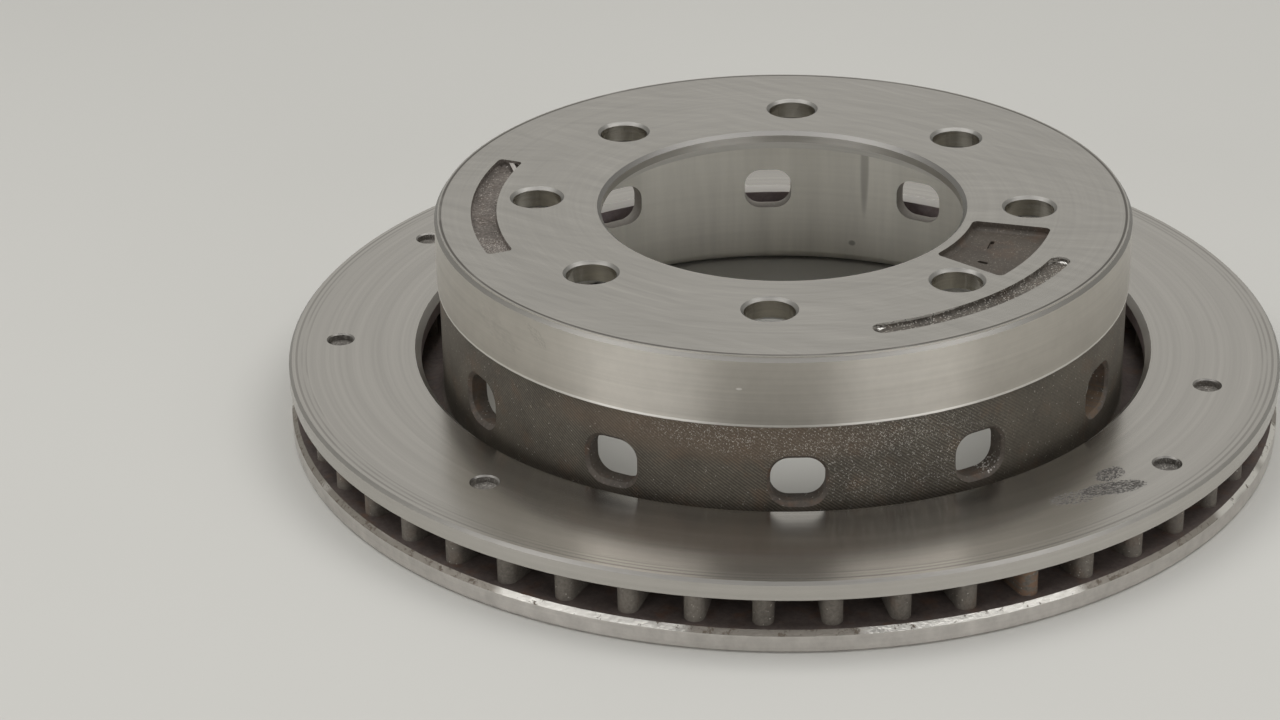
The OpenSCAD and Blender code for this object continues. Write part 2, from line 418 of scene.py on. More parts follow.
def bare_flecks(azimuth: float, middle: float, around: float, across: float, grain: float = 0.6,
                share: float = 0.8, roughness: float = 0.35) -> Patch:
    """Bright flecks of bare metal at the rim of a recess."""
    return Patch(azimuth, middle, around, across, texture=Texture.RAGGED, grain=grain, share=share,
                 colour=BARE, roughness=roughness, metallic=1.0)


@dataclass(frozen=True)
class TurnedIron:
    """Bare grey iron with the fine rings of a lathe tool, whose gloss spreads across the rings.

    Fine, broad, strokes, falls, blotches and unevenness are strengths. A ring stays the same over
    the arc, in degrees, and a broad one longer by the factor broad_arc. A sheet of strokes has its
    way in degrees and its seed, and the sheets change over between two levels of noise.
    """

    name: str
    feed: Feed
    colour: Colour = (0.535, 0.515, 0.487)
    roughness: float = 0.2
    anisotropy: float = 0.85
    metallic: float = 1.0
    fine_pitch: float = 1.3
    fine: float = 0.26
    broad_pitch: float = 6.0
    broad: float = 0.16
    broad_arc: float = 1.5
    arc: float = 75.0
    strokes: float = 0.0
    falls: float = 0.0
    blotches: float = 0.0
    marks: tuple[Mark, ...] = ()
    unevenness: float = 0.3
    relief: float = 0.006
    fall_width: float = 7.0
    fall_length: float = 90.0
    blotch_size: float = 6.0
    stroke_width: float = 3.5
    stroke_length: float = 40.0
    sheets: tuple[tuple[float, float], ...] = ((58.0, 3.0), (84.0, 40.0))
    sheet_size: float = 45.0
    sheet_levels: tuple[float, float] = (0.42, 0.58)

    def material(self) -> bpy.types.Material:
        """Makes the finish.

        Returns:
            A new material.
        """
        g = Skin(self.name)
        spot = g.spot()
        across = spot.radius if self.feed is Feed.ACROSS else spot.z
        fine = g.rings(spot, across, self.fine_pitch, self.arc, detail=4)
        broad = g.rings(spot, across, self.broad_pitch, self.arc * self.broad_arc, detail=2, seed=7)
        tone = 1 + fine.swing(self.fine) + broad.swing(self.broad)
        if self.strokes:
            tone = tone + self._strokes(g, spot).swing(self.strokes)
        # Falls are long upright streaks painted into the tone. They stand in for reflection streaks.
        if self.falls:
            width, length = self.fall_width, self.fall_length
            falls = g.noise(spot.x / width, spot.y / width, spot.z / length, detail=3, rough=0.6)
            tone = tone + falls.swing(self.falls)
        if self.blotches:
            blotches = g.clouds(spot, self.blotch_size, seed=3, detail=5, rough=0.65)
            tone = tone + blotches.swing(self.blotches)
        roughness = self.roughness * (1 + broad.swing(self.unevenness))
        coat = Coat(g.dim(self.colour, tone), roughness, self.metallic)
        for mark in self.marks:
            mark.lay(g, spot, across, coat)
        gloss = {"Anisotropic": self.anisotropy, "Anisotropic Rotation": QUARTER_TURN}
        return g.surface({**coat.sockets(), **gloss, "Normal": g.bump(fine, self.relief)})

    def _strokes(self, g: Skin, spot: Spot) -> Signal:
        """Strokes of an abrasive pad that change their way from place to place.

        Args:
            g: the material's nodes.
            spot: the shaded point.

        Returns:
            The strokes as noise about 0.5.
        """
        sheets = []
        for way, seed in self.sheets:
            cos, sin = math.cos(math.radians(way)), math.sin(math.radians(way))
            over = (spot.x * cos + spot.y * sin) / self.stroke_width
            along = (spot.y * cos - spot.x * sin) / self.stroke_length
            sheets.append(g.noise(over, along, seed, detail=5, rough=0.6))
        turned = g.clouds(spot, self.sheet_size, seed=12, detail=2).rises(*self.sheet_levels)
        return sheets[0] * turned + sheets[1] * (1 - turned)


@dataclass(frozen=True)
class DrilledIron:
    """The wall of a drilled hole, with tool rings down its depth."""

    name: str
    colour: Colour = (0.60, 0.575, 0.53)
    roughness: float = 0.5
    metallic: float = 1.0
    rings: float = 0.6
    ring_pitch: float = 0.8
    ring_length: float = 9.0
    haze: float = 0.2
    haze_size: float = 2.5
    relief: float = 0.03

    def material(self) -> bpy.types.Material:
        """Makes the finish.

        Returns:
            A new material.
        """
        g = Skin(self.name)
        spot = g.spot()
        length, pitch = self.ring_length, self.ring_pitch
        rings = g.noise(spot.x / length, spot.y / length, spot.z / pitch, detail=3, rough=0.6)
        tone = 1 + rings.swing(self.rings) + g.clouds(spot, self.haze_size).swing(self.haze)
        coat = Coat(g.dim(self.colour, tone), self.roughness, self.metallic)
        return g.surface({**coat.sockets(), "Normal": g.bump(rings, self.relief)})


@dataclass(frozen=True)
class CastSkin:
    """Rough skin that the sand mould left, with oxide, rust and grains that catch the light.

    Rust sets in between two levels of noise. The hatch is faint from worn_from to worn_to, which are
    azimuths, and fades over worn_fade.
    """

    name: str
    dark: Colour = (0.060, 0.050, 0.040)
    light: Colour = (0.125, 0.108, 0.088)
    grain: float = 1.1
    mottle: float = 1.5
    rust: float = 0.3
    glints: float = 0.3
    glint_size: float = 0.8
    glint_colour: Colour = (0.50, 0.47, 0.42)
    roughness: float = 0.6
    hatch: float = 0.0
    depth: float = 0.12
    marks: tuple[Patch, ...] = ()
    cloud: float = 1.3
    cloud_size: float = 13.0
    rust_size: float = 8.0
    rust_levels: tuple[float, float] = (0.5, 0.75)
    glint_roughness: float = 0.5
    glint_metallic: float = 0.4
    gloss: float = 0.4
    raised: float = 0.3
    hatch_pitch: float = 0.92
    hatch_slope: float = 1.32
    worn_from: float = -45.0
    worn_to: float = -10.0
    worn_fade: float = 20.0
    wear: float = 0.8

    def material(self) -> bpy.types.Material:
        """Makes the finish.

        Returns:
            A new material.
        """
        g = Skin(self.name)
        spot = g.spot()
        grain = g.clouds(spot, self.grain, detail=4, rough=0.65)
        tone = grain.swing(self.mottle) + g.clouds(spot, self.cloud_size).swing(self.cloud) + 0.5
        rusty = g.clouds(spot, self.rust_size, seed=50, detail=4, rough=0.6)
        rusty = rusty.rises(*self.rust_levels)
        colour = g.blend(rusty * self.rust, g.blend(tone, self.dark, self.light), RUST)
        height = grain
        if self.hatch:
            lines = self._hatch(g, spot)
            colour = g.dim(colour, 1 + lines.swing(self.hatch))
            height = height + lines * self.raised
        coat = Coat(colour, self.roughness, 0.0)
        if self.glints:
            glint = g.grains(spot, self.glint_size, self.glints)
            coat.cover(glint, self.glint_colour, self.glint_roughness, self.glint_metallic)
            height = height + glint * self.raised
        for mark in self.marks:
            mark.lay(g, spot, spot.z, coat)
        return g.surface({**coat.sockets(), "Specular IOR Level": self.gloss,
                          "Normal": g.bump(height, self.depth)})

    def _hatch(self, g: Skin, spot: Spot) -> Signal:
        """A fine diagonal hatch, printed in the wall by the pattern's own tool marks.

        Args:
            g: the material's nodes.
            spot: the shaded point.

        Returns:
            0 in the grooves and 1 on the ridges, or nearer to 0.5 where they are worn.
        """
        step = 2 * math.pi / (self.hatch_pitch * math.hypot(1, self.hatch_slope))
        around = spot.azimuth * spot.radius * math.radians(1)
        worn = spot.azimuth.between(self.worn_from, self.worn_to, self.worn_fade)
        ridges = g.maths("SINE", (around + spot.z * self.hatch_slope) * step)
        return ridges * (1 - worn * self.wear) * 0.5 + 0.5


@dataclass(frozen=True)
class FettledEdge:
    """An edge that was fettled by hand: bright where the grinding wheel bit, dull or dirty where it
    missed.

    Along the front, which is a range of azimuths, it is bright only in the listed ranges, which are
    painted highlights on the fettled metal, and elsewhere in stretches of wheel marks. Chips and
    stretches set in between two levels of noise.
    """

    name: str
    bright: Colour = (0.68, 0.66, 0.62)
    dull: Colour = (0.26, 0.238, 0.21)
    dirty: Colour = (0.13, 0.105, 0.08)
    bright_roughness: float = 0.28
    dull_roughness: float = 0.42
    dirty_roughness: float = 0.6
    dirty_metallic: float = 0.2
    front: tuple[float, float] = (-135.0, -40.0)
    front_fade: float = 8.0
    # Painted highlights: the bright ranges of the front edge, in azimuths.
    painted_highlights: tuple[tuple[float, float], ...] = ((-120.0, -100.8), (-80.5, -57.8))
    highlight_fade: float = 2.0
    chip_size: float = 2.6
    chip_levels: tuple[float, float] = (0.53, 0.62)
    fewer_chips: float = 0.035
    stretch: float = 26.0
    stretch_levels: tuple[float, float] = (0.5, 0.58)
    relief: float = 0.25

    def material(self) -> bpy.types.Material:
        """Makes the finish.

        Returns:
            A new material.
        """
        g = Skin(self.name)
        spot = g.spot()
        chips = g.clouds(spot, self.chip_size, detail=5, rough=0.7)
        stretches = g.clouds(spot, self.stretch, seed=4, detail=1).rises(*self.stretch_levels)
        # The bright share: the wheel's stretches away from the front, plus the painted highlights.
        wheel_and_highlight = stretches * (1 - spot.azimuth.between(*self.front, self.front_fade))
        for start, end in self.painted_highlights:
            wheel_and_highlight = wheel_and_highlight + spot.azimuth.between(start, end, self.highlight_fade)
        roughness = self.dull_roughness - wheel_and_highlight * (self.dull_roughness - self.bright_roughness)
        coat = Coat(g.blend(wheel_and_highlight, self.dull, self.bright), roughness, 1.0)
        chipped = (chips - wheel_and_highlight * self.fewer_chips).rises(*self.chip_levels)
        coat.cover(chipped, self.dirty, self.dirty_roughness, self.dirty_metallic)
        return g.surface({**coat.sockets(), "Normal": g.bump(chips, self.relief)})


Finish = Union[TurnedIron, DrilledIron, CastSkin, FettledEdge]


@dataclass(frozen=True)
class Face:
    """Where one face of the casting lies, in millimetres, and which way it looks."""

    x: float
    y: float
    z: float
    up: float
    out: float

    @classmethod
    def of(cls, polygon: bpy.types.MeshPolygon) -> "Face":
        """Reads the place and the direction of a mesh face.

        Args:
            polygon: the mesh face.

        Returns:
            What is known of it.
        """
        x, y, z = (part / MM for part in polygon.center)
        out = (polygon.normal.x * x + polygon.normal.y * y) / math.hypot(x, y)
        return cls(x, y, z, polygon.normal.z, out)

    @property
    def radius(self) -> float:
        """Distance from the axis of the disc."""
        return math.hypot(self.x, self.y)

    @property
    def looks_up(self) -> bool:
        """Whether the face is level and looks up."""
        return self.up > 0.99

    @property
    def slopes(self) -> bool:
        """Whether the face looks up at least in part, as a chamfer does."""
        return self.up > 0.3

    @property
    def stands(self) -> bool:
        """Whether the face stands upright, or nearly so."""
        return abs(self.up) < 0.5

    @property
    def looks_out(self) -> bool:
        """Whether the face looks away from the axis."""
        return self.out > 0.9

    def off(self, radius: float, azimuth: float) -> float:
        """Distance in plan from the point at this radius and azimuth."""
        a = math.radians(azimuth)
        return math.hypot(self.x - radius * math.cos(a), self.y - radius * math.sin(a))


@dataclass
class WheelFlange:
    """The flange that the wheel and the hub clamp, with its bore, stud holes and recesses."""

    top_z: float = 72.8
    under_z: float = 64.4
    seat_z: float = 65.0
    crown_r: float = 114.9
    bore_r: float = 60.65
    bore_lead: float = 4.0
    stud_circle_r: float = 82.55
    stud_hole_r: float = 8.2
    stud_chamfer: float = 1.0
    stud_count: int = 8
    stud_phase: float = -2.5
    arcs_from_r: float = 94.0
    wide_floor_z: float = 70.2
    face: TurnedIron = TurnedIron(
        "wheel_face", Feed.ACROSS, colour=(0.492, 0.474, 0.446), roughness=0.24, anisotropy=0.5,
        fine_pitch=1.1, fine=0.20, broad_pitch=4.0, broad=0.10, arc=50, strokes=0.42,
        # The dark line at the face's outer edge is painted shade: it stands in for the dark that this
        # edge reflects.
        marks=(Line(114.45, 0.55, opacity=0.85, broken=0.3),))
    under: TurnedIron = TurnedIron("hub_seat", Feed.ACROSS, colour=(0.46, 0.445, 0.415))
    bore: TurnedIron = TurnedIron("pilot_bore", Feed.ALONG, colour=(0.56, 0.54, 0.51), roughness=0.35,
                                  anisotropy=0.6)
    # The bore chamfer is a darker copy of the turned iron: painted shade that damps the light band on
    # that edge.
    bore_rim: TurnedIron = TurnedIron("bore_chamfer", Feed.ALONG, colour=(0.22, 0.213, 0.202),
                                      roughness=0.42, anisotropy=0.3)
    # The lead-in under the bore is a lit copy of the turned iron, far lighter: painted light that
    # hides the shade at that edge.
    bore_foot: TurnedIron = TurnedIron("bore_lead_in", Feed.ALONG, colour=(0.85, 0.83, 0.79),
                                       metallic=0.5, roughness=0.5, anisotropy=0.0)
    hole: DrilledIron = DrilledIron("stud_hole", colour=(0.50, 0.475, 0.43), roughness=0.26)
    hole_rim: DrilledIron = DrilledIron("stud_hole_rim", colour=(0.25, 0.242, 0.227), roughness=0.4)
    pad: CastSkin = CastSkin(
        "pad_recess_skin", dark=(0.040, 0.032, 0.025), light=(0.082, 0.068, 0.054), mottle=1.8,
        grain=0.7, rust=0.15, glints=0.3, glint_size=0.45, glint_colour=(0.20, 0.18, 0.155),
        depth=0.04)
    narrow: CastSkin = CastSkin(
        "narrow_recess_skin", dark=(0.032, 0.027, 0.022), light=(0.145, 0.128, 0.108), mottle=2.4,
        grain=0.8, rust=0.12, glints=0.55, glint_size=0.6, glint_colour=(0.52, 0.49, 0.44),
        depth=0.16,
        marks=(bare_flecks(-64.0, 72.7, 22.0, 1.0, grain=0.9, share=1.1, roughness=0.3),
               bare_flecks(-72.5, 71.8, 5.0, 1.6), bare_flecks(-26.6, 71.8, 5.0, 1.6)))
    wide: CastSkin = CastSkin(
        "wide_recess_skin", dark=(0.052, 0.042, 0.035), light=(0.165, 0.143, 0.125), mottle=2.8,
        grain=0.8, rust=0.1, glints=0.45, glint_size=0.6, glint_colour=(0.42, 0.38, 0.345),
        depth=0.12,
        marks=(Patch(-158.0, 71.0, 15.0, 3.5, texture=Texture.GRAINS, grain=0.5, share=0.95,
                     colour=(0.52, 0.48, 0.44), roughness=0.4, metallic=0.5, core=0.4),))
    seam: CastSkin = CastSkin(
        "casting_seam", dark=(0.24, 0.22, 0.20), light=(0.52, 0.49, 0.46), rust=0.1, glints=0.2,
        roughness=0.45)

    def finish(self, face: Face) -> Optional[Finish]:
        """The finish of a face of the flange.

        Args:
            face: a face of the casting.

        Returns:
            Its finish, or nothing where the face isn't the flange's.
        """
        if face.z < self.under_z - PLAY or face.radius > self.crown_r + PLAY:
            return None
        if face.looks_up and face.z > self.top_z - PLAY:
            return self.face
        if face.radius < self.bore_r + self.bore_lead + PLAY:
            if face.stands:
                return self.bore
            return self.bore_rim if face.up > 0 else self.bore_foot
        if self._at_stud_hole(face):
            return self.hole if face.stands else self.hole_rim
        if face.z < self.seat_z + PLAY:
            return self.under
        return self._recess(face)

    def _recess(self, face: Face) -> CastSkin:
        """The skin of the recess in which a face lies.

        Args:
            face: a face of one of the three recesses.

        Returns:
            Its skin.
        """
        if face.radius < self.arcs_from_r:
            return self.pad
        if face.x > 0:
            return self.narrow
        return self.seam if face.looks_up and face.z > self.wide_floor_z + PLAY else self.wide

    def _at_stud_hole(self, face: Face) -> bool:
        """Whether a face belongs to a stud hole.

        Args:
            face: a face of the flange.

        Returns:
            Whether it lies in the wall or the chamfers of any stud hole.
        """
        reach = self.stud_hole_r + self.stud_chamfer + PLAY
        angles = (self.stud_phase + i * 360 / self.stud_count for i in range(self.stud_count))
        return any(face.off(self.stud_circle_r, angle) < reach for angle in angles)


@dataclass
class Hat:
    """The wall of the hat: the turned band, the cast wall with its windows, and the inside."""

    top_z: float = WheelFlange.top_z
    crown_chamfer: float = 1.6
    band_z: float = 48.7
    band_r: float = 116.5
    wall_r: float = 115.8
    inner_r: float = 109.4
    mouth_round: float = 3.0
    margin_z: float = 1.2
    margin_lip: float = 0.05
    margin_r: float = 118.9
    plate_z: float = 7.4
    plate_fillet: float = 4.0
    # The crown chamfer is a darker copy of the turned iron: painted shade that damps the highlight on
    # that edge.
    crown: TurnedIron = TurnedIron("crown_chamfer", Feed.ALONG, colour=(0.27, 0.26, 0.243),
                                   roughness=0.36, anisotropy=0.4, fine=0.3)
    band: TurnedIron = TurnedIron(
        "turned_band", Feed.ALONG, colour=(0.535, 0.508, 0.463), roughness=0.36, anisotropy=0.85,
        fine_pitch=1.4, fine=0.30, broad_pitch=5.0, broad=0.16, blotches=0.2,
        # The light line along the band's lower edge is a painted highlight, for the light caught by
        # the small edge below the band.
        marks=(Line(49.4, 0.6, colour=(0.90, 0.88, 0.84), opacity=0.9, roughness=0.34),
               Patch(-131.0, 66.0, 9.0, 3.2, lean=-36, texture=Texture.RAGGED, grain=0.55, share=0.75,
                     colour=(0.22, 0.21, 0.19), opacity=0.25, roughness=0.34, metallic=1.0),
               Patch(-141.0, 62.0, 20.0, 7.0, lean=-20, texture=Texture.RAGGED, grain=1.6, share=0.8,
                     colour=(0.34, 0.325, 0.30), opacity=0.18, roughness=0.34, metallic=1.0),
               Patch(-96.3, 61.9, 1.2, 0.5, colour=(0.90, 0.88, 0.85), opacity=0.8, roughness=0.3,
                     metallic=1.0)))
    # The inside wall is a lit copy of the turned iron, much lighter and less metallic: painted light
    # for the light that the inside of the hat lacks.
    inside: TurnedIron = TurnedIron(
        "turned_inside", Feed.ALONG, colour=(0.86, 0.836, 0.778), metallic=0.7, roughness=0.36,
        # The falls are upright streaks in the tone: painted reflection streaks.
        anisotropy=0.6, fine_pitch=1.6, fine=0.12, broad_pitch=9.0, broad=0.10, falls=0.34,
        # A dark upright streak down the inside wall, and a small dark spot near its foot.
        marks=(Patch(73.8, 40.0, 1.9, 22.0, colour=(0.16, 0.15, 0.14), opacity=0.4, metallic=0.9),
               Patch(76.1, 9.0, 1.6, 1.3, colour=(0.16, 0.15, 0.14), opacity=0.6, metallic=0.9)))
    wall: CastSkin = CastSkin(
        "cast_wall", dark=(0.060, 0.052, 0.041), light=(0.118, 0.103, 0.080), hatch=0.8,
        glints=0.06, glint_size=0.5, rust=0.16,
        marks=(Patch(-100.0, 44.0, 70.0, 10.0, colour=(0.150, 0.105, 0.072), opacity=0.45,
                     roughness=0.6, metallic=0.0, core=0.1),
               Patch(-86.0, 45.0, 66.0, 9.0, texture=Texture.GRAINS, grain=0.42, share=0.48,
                     colour=(0.62, 0.595, 0.545), opacity=0.85, roughness=0.45, metallic=0.4,
                     core=0.1),
               Patch(-72.0, 34.0, 50.0, 16.0, texture=Texture.GRAINS, grain=0.42, share=0.38,
                     colour=(0.58, 0.555, 0.51), opacity=0.8, roughness=0.45, metallic=0.4,
                     core=0.1),
               # A lighter patch under each window, every 30 degrees: painted light on the lip below
               # the opening.
               Patch(-87.3, 19.0, 8.0, 4.0, colour=(0.15, 0.128, 0.105), opacity=0.5, roughness=0.6,
                     metallic=0.0, core=0.0, every=30.0),
               Patch(-27.5, 31.0, 5.0, 7.0, texture=Texture.RAGGED, grain=1.0, share=0.8,
                     colour=RUST, roughness=0.7, metallic=0.0)))
    reveal: CastSkin = CastSkin(
        "window_reveal", dark=(0.065, 0.053, 0.044), light=(0.135, 0.114, 0.094), rust=0.4,
        glints=0.12, glint_size=0.6,
        marks=(Patch(-55.5, 26.0, 5.0, 5.0, texture=Texture.GRAINS, grain=0.9, share=0.9,
                     colour=(0.75, 0.72, 0.68), roughness=0.3, metallic=1.0, core=0.4),
               Patch(-27.5, 27.0, 12.0, 9.0, texture=Texture.RAGGED, grain=1.2, share=0.95,
                     colour=(0.15, 0.098, 0.060), opacity=0.75, roughness=0.7, metallic=0.0,
                     core=0.4)))
    # The rear window reveals are a much lighter copy of the cast skin: painted light on the sills
    # that show through the rear windows.
    rear_reveal: CastSkin = CastSkin("rear_window_reveal", dark=(0.22, 0.20, 0.175),
                                     light=(0.40, 0.37, 0.335), mottle=1.0, rust=0.1, glints=0.0)
    margin: CastSkin = CastSkin("cast_margin", glints=0.1)

    def finish(self, face: Face) -> Optional[Finish]:
        """The finish of a face of the hat.

        Args:
            face: a face of the casting.

        Returns:
            Its finish, or nothing where the face isn't the hat's.
        """
        in_margin = face.radius < self.margin_r + PLAY
        if in_margin and PLAY < face.z < self.margin_z + self.margin_lip:
            return self.margin
        if face.radius > self.band_r + PLAY or face.z < self.margin_z:
            return None
        if face.z > self.band_z - PLAY and face.radius > self.band_r - self.crown_chamfer - CHORD:
            on_chamfer = face.slopes and face.z > self.top_z - self.crown_chamfer
            return self.crown if on_chamfer else self.band
        if face.radius < self.inner_r + PLAY or face.z < self.margin_z + self.mouth_round + PLAY:
            return self.inside
        if face.z < self.plate_z + self.plate_fillet:
            return None
        if face.looks_out and face.radius > self.wall_r - CHORD:
            return self.wall
        return self.reveal if face.y < 0 else self.rear_reveal


@dataclass
class FrictionRing:
    """The two plates that the pads grip, with the drill marks in the upper one."""

    rim_r: float = 167.8
    groove_r: float = 123.1
    groove_chamfer: float = 2.0
    height: float = 24.4
    outboard_z: float = 18.0
    inboard_z: float = Hat.plate_z
    vent_chamfer: float = 1.5
    mark_chamfer: float = 0.6
    face: TurnedIron = TurnedIron(
        "friction_face", Feed.ACROSS, roughness=0.155, fine_pitch=1.5, fine=0.34, broad_pitch=5.5,
        broad=0.20,
        marks=(Line(165.2, 0.5, opacity=0.35, broken=0.5),
               Line(163.4, 0.4, opacity=0.25, broken=0.9),
               Line(161.9, 0.4, opacity=0.20, broken=1.0),
               stain(-44.2, 143.3, 8.5, 5.0, lean=0, share=0.95),
               stain(-46.6, 149.8, 16.0, 5.5, lean=24, share=1.0),
               stain(-52.0, 146.6, 12.0, 5.5, lean=16, share=0.75)))
    inboard_face: TurnedIron = replace(face, name="inboard_friction_face", marks=face.marks[:1])
    rim: TurnedIron = TurnedIron("turned_rim", Feed.ALONG, colour=(0.50, 0.48, 0.45),
                                 roughness=0.26, anisotropy=0.6, blotches=0.1)
    # The rim chamfer is a darker copy of the turned rim: painted shade that damps the highlight on
    # that edge.
    rim_edge: TurnedIron = TurnedIron("rim_chamfer", Feed.ALONG, colour=(0.31, 0.298, 0.28),
                                      roughness=0.38, anisotropy=0.4, blotches=0.2)
    groove_edge: TurnedIron = TurnedIron("groove_chamfer", Feed.ACROSS, colour=(0.62, 0.60, 0.57),
                                         roughness=0.34, anisotropy=0.4)
    # The inboard rim is a lighter copy of the turned rim: painted light that makes up for the shaded
    # floor it reflects.
    foot: TurnedIron = TurnedIron("inboard_rim", Feed.ALONG, colour=(0.62, 0.592, 0.563),
                                  roughness=0.32, anisotropy=0.6, blotches=0.6)
    edge: FettledEdge = FettledEdge("fettled_rim_edge")
    mark: CastSkin = CastSkin("drill_mark", dark=(0.06, 0.054, 0.047), light=(0.19, 0.175, 0.155),
                              grain=0.9, mottle=2.2, rust=0.1, glints=0.7, glint_size=0.5,
                              glint_colour=(0.36, 0.34, 0.31))
    # The drill mark's rim is a darker copy of the drilled iron: painted shade that damps the
    # highlight on that edge.
    mark_rim: DrilledIron = DrilledIron("drill_mark_rim", colour=(0.24, 0.23, 0.216), roughness=0.38)

    def finish(self, face: Face) -> Optional[Finish]:
        """The finish of a face of the ring.

        Args:
            face: a face of the casting.

        Returns:
            Its finish, or nothing where the face isn't the ring's.
        """
        if abs(face.z - self.height) < PLAY:
            return self.face
        if abs(face.z) < PLAY:
            return self.inboard_face
        if face.radius > self.rim_r - self.vent_chamfer - CHORD:
            return self._rim(face)
        if face.z < self.outboard_z + PLAY:
            return None
        if face.radius < self.groove_r + self.groove_chamfer:
            return self.groove_edge if face.slopes else None
        at_top = face.z > self.height - self.mark_chamfer
        return self.mark_rim if at_top and face.slopes else self.mark

    def _rim(self, face: Face) -> Optional[Finish]:
        """The finish of a face at the rim.

        Args:
            face: a face near the ring's outer edge.

        Returns:
            Its finish, or nothing in the air gap between the plates.
        """
        if face.z > self.outboard_z + PLAY:
            return self.rim_edge if face.slopes else self.rim
        if face.z > self.inboard_z - PLAY:
            return None
        at_edge = face.slopes and face.z > self.inboard_z - self.vent_chamfer
        return self.edge if at_edge else self.foot


@dataclass
class VentedCore:
    """The air gap between the plates, with its vanes, and the groove that feeds it."""

    inboard_z: float = FrictionRing.inboard_z
    outboard_z: float = FrictionRing.outboard_z
    groove_r: float = FrictionRing.groove_r
    groove: CastSkin = CastSkin("groove_skin", dark=(0.25, 0.208, 0.215), light=(0.42, 0.355, 0.36),
                                rust=0.2, glints=0.0, grain=1.6)
    # The vent skin is a lighter copy of the cast skin, its colour about doubled: painted light in the
    # shaded gap between the plates.
    plate: CastSkin = CastSkin("vent_skin", dark=(0.088, 0.070, 0.064), light=(0.175, 0.142, 0.128),
                               rust=0.4, glints=0.0, grain=1.6)
    vane: CastSkin = CastSkin(
        "vane_skin", dark=(0.085, 0.074, 0.062), light=(0.20, 0.178, 0.152), rust=0.2, glints=0.1,
        glint_size=0.6, grain=0.9,
        marks=(Patch(-62.4, 12.0, 6.0, 7.0, texture=Texture.RAGGED, grain=1.6, share=0.9,
                     colour=(0.20, 0.112, 0.065), opacity=0.7, roughness=0.7, metallic=0.0,
                     core=0.5),))

    def finish(self, face: Face) -> Finish:
        """The finish of a face in the vents or the groove.

        Args:
            face: a face that none of the other parts knows.

        Returns:
            Its finish.
        """
        if face.radius < self.groove_r + PLAY and face.z > self.outboard_z + PLAY:
            return self.groove
        in_gap = self.inboard_z + PLAY < face.z < self.outboard_z - PLAY
        return self.vane if in_gap and face.stands else self.plate


@dataclass
class Casting:
    """The one casting, which shares out its faces among its parts and dresses each of them."""

    flange: WheelFlange = field(default_factory=WheelFlange)
    hat: Hat = field(default_factory=Hat)
    ring: FrictionRing = field(default_factory=FrictionRing)
    core: VentedCore = field(default_factory=VentedCore)

    def finish(self, face: Face) -> Finish:
        """The finish of a face, from the first part that knows it."""
        return (self.flange.finish(face) or self.hat.finish(face) or self.ring.finish(face)
                or self.core.finish(face))

    def dress(self, casting: bpy.types.Object) -> dict[str, int]:
        """Gives each face of the casting its material.

        Args:
            casting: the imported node, whose shape stays as it is.

        Returns:
            How many faces each finish has.
        """
        mesh = casting.data
        mesh.materials.clear()
        slots: dict[str, int] = {}
        count: dict[str, int] = {}
        for polygon in mesh.polygons:
            finish = self.finish(Face.of(polygon))
            if finish.name not in slots:
                slots[finish.name] = len(slots)
                mesh.materials.append(finish.material())
            polygon.material_index = slots[finish.name]
            count[finish.name] = count.get(finish.name, 0) + 1
        return count


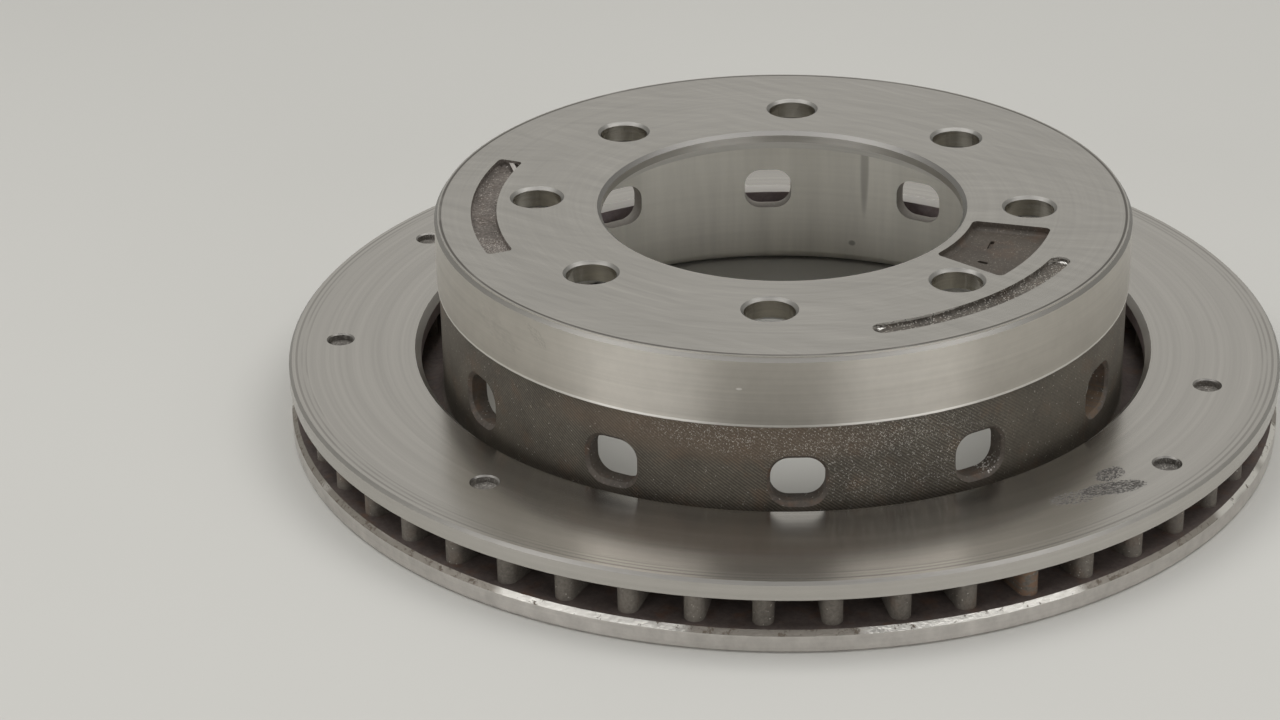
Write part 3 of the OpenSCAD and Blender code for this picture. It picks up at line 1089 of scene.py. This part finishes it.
@dataclass
class Studio:
    """A plain pale floor under soft boxes, in front of a pale backdrop, in metres and degrees.

    The two turns say where, in the Y of a direction, the light from behind gives way to that from
    in front: in what metal mirrors, and in what fills the shadows.
    """

    pale: Colour = (0.565, 0.558, 0.530)
    gloom: Colour = (0.10, 0.097, 0.092)
    front_fill: Colour = (0.11, 0.107, 0.10)
    back_fill: Colour = (0.38, 0.375, 0.356)
    mirror_turn: tuple[float, float] = (-0.15, -0.6)
    fill_turn: tuple[float, float] = (0.3, -0.3)
    overhead: float = 2.2
    overhead_at: tuple[float, float, float] = (0.0, 0.0, 1.5)
    overhead_size: tuple[float, float] = (2.8, 1.3)
    side: float = 2.3
    side_azimuths: tuple[float, float] = (-133.0, -52.0)
    side_reach: float = 1.5
    side_height: float = 0.42
    side_size: tuple[float, float] = (1.1, 0.7)
    floor_size: float = 14.0
    floor_cloud_mm: float = 180.0
    floor_cloud: float = 0.03
    floor_roughness: float = 0.9
    floor_gloss: float = 0.1

    def build(self) -> None:
        """Makes the floor, the surroundings and the lamps."""
        self._floor()
        self._surroundings()
        self._soft_box("overhead_box", self.overhead_at, self.overhead_size, self.overhead)
        for azimuth in self.side_azimuths:
            a = math.radians(azimuth)
            at = (self.side_reach * math.cos(a), self.side_reach * math.sin(a), self.side_height)
            self._soft_box(f"side_box_{abs(azimuth):.0f}", at, self.side_size, self.side)

    def _floor(self) -> None:
        """Lays the floor, on which the disc stands."""
        half = self.floor_size / 2
        mesh = bpy.data.meshes.new("floor")
        corners = [(-half, -half, 0), (half, -half, 0), (half, half, 0), (-half, half, 0)]
        mesh.from_pydata(corners, [], [(0, 1, 2, 3)])
        floor = bpy.data.objects.new("floor", mesh)
        bpy.context.scene.collection.objects.link(floor)
        g = Skin("pale_floor")
        cloud = g.clouds(g.spot(), self.floor_cloud_mm, detail=2)
        colour = g.dim(self.pale, 1 + cloud.swing(self.floor_cloud))
        mesh.materials.append(g.surface({"Base Color": colour, "Roughness": self.floor_roughness,
                                         "Specular IOR Level": self.floor_gloss}))

    def _surroundings(self) -> None:
        """The world: pale to the camera and in reflections, but for the side behind the camera."""
        world = bpy.data.worlds.new("surroundings")
        world.use_nodes = True
        bpy.context.scene.world = world
        g = Graph(world.node_tree)
        way = g.node("ShaderNodeTexCoord", {}, {}, "Generated")
        ahead = g.node("ShaderNodeSeparateXYZ", {}, {"Vector": way}, "Y")
        glossy = g.node("ShaderNodeLightPath", {}, {}, "Is Glossy Ray")
        camera = g.node("ShaderNodeLightPath", {}, {}, "Is Camera Ray")
        mirrored = g.blend(ahead.rises(*self.mirror_turn), self.pale, self.gloom)
        filled = g.blend(ahead.rises(*self.fill_turn), self.back_fill, self.front_fill)
        colour = g.blend(camera, g.blend(glossy, filled, mirrored), self.pale)
        light = g.node("ShaderNodeBackground", {}, {"Color": colour, "Strength": 1.0})
        g.end("ShaderNodeOutputWorld", light)

    @staticmethod
    def _soft_box(name: str, at: tuple[float, float, float], size: tuple[float, float],
                  radiance: float) -> None:
        """Hangs one soft box that looks at the disc.

        Args:
            name: the lamp's name.
            at: its place in metres.
            size: its width and height in metres.
            radiance: how bright its face is, where 1 is white.
        """
        lamp = bpy.data.lights.new(name, "AREA")
        lamp.shape = "RECTANGLE"
        lamp.size, lamp.size_y = size
        lamp.energy = radiance * math.pi * size[0] * size[1]
        box = bpy.data.objects.new(name, lamp)
        box.location = at
        box.rotation_euler = (-Vector(at)).to_track_quat("-Z", "Y").to_euler()
        box.visible_camera = False
        bpy.context.scene.collection.objects.link(box)


@dataclass
class View:
    """The camera where the photograph was taken from, in metres and degrees.

    The lens and the sensor are in millimetres.
    """

    place: tuple[float, float, float] = (0.0, -0.97086, 0.50322)
    yaw: float = -2.862
    pitch: float = -26.75
    roll: float = -1.0825
    lens: float = 88.93
    sensor: float = 36.0
    clip: tuple[float, float] = (0.05, 50.0)

    def build(self) -> None:
        """Makes the camera and hands it to the scene."""
        yaw, pitch, roll = (math.radians(a) for a in (self.yaw, self.pitch, self.roll))
        ahead = Vector((math.sin(yaw) * math.cos(pitch), math.cos(yaw) * math.cos(pitch),
                        math.sin(pitch)))
        level = Vector((math.cos(yaw), -math.sin(yaw), 0.0))
        upright = level.cross(ahead)
        right = math.cos(roll) * level + math.sin(roll) * upright
        up = math.cos(roll) * upright - math.sin(roll) * level
        data = bpy.data.cameras.new("camera")
        data.lens = self.lens
        data.sensor_width = self.sensor
        data.clip_start, data.clip_end = self.clip
        camera = bpy.data.objects.new("camera", data)
        turn = Matrix((right, up, -ahead)).transposed().to_4x4()
        camera.matrix_world = Matrix.Translation(self.place) @ turn
        bpy.context.scene.collection.objects.link(camera)
        bpy.context.scene.camera = camera


def main() -> None:
    """Builds the view, the studio and the looks of the casting, and logs how many faces each finish
    has.
    """
    logging.basicConfig(level=logging.INFO, format="%(name)s: %(message)s")
    View().build()
    Studio().build()
    bpy.context.scene.view_settings.view_transform = "Standard"
    counts = Casting().dress(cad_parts[CASTING])
    for finish, faces in counts.items():
        log.info("%s: %d faces are %s", CASTING, faces, finish)


if __name__ == "__main__":
    main()
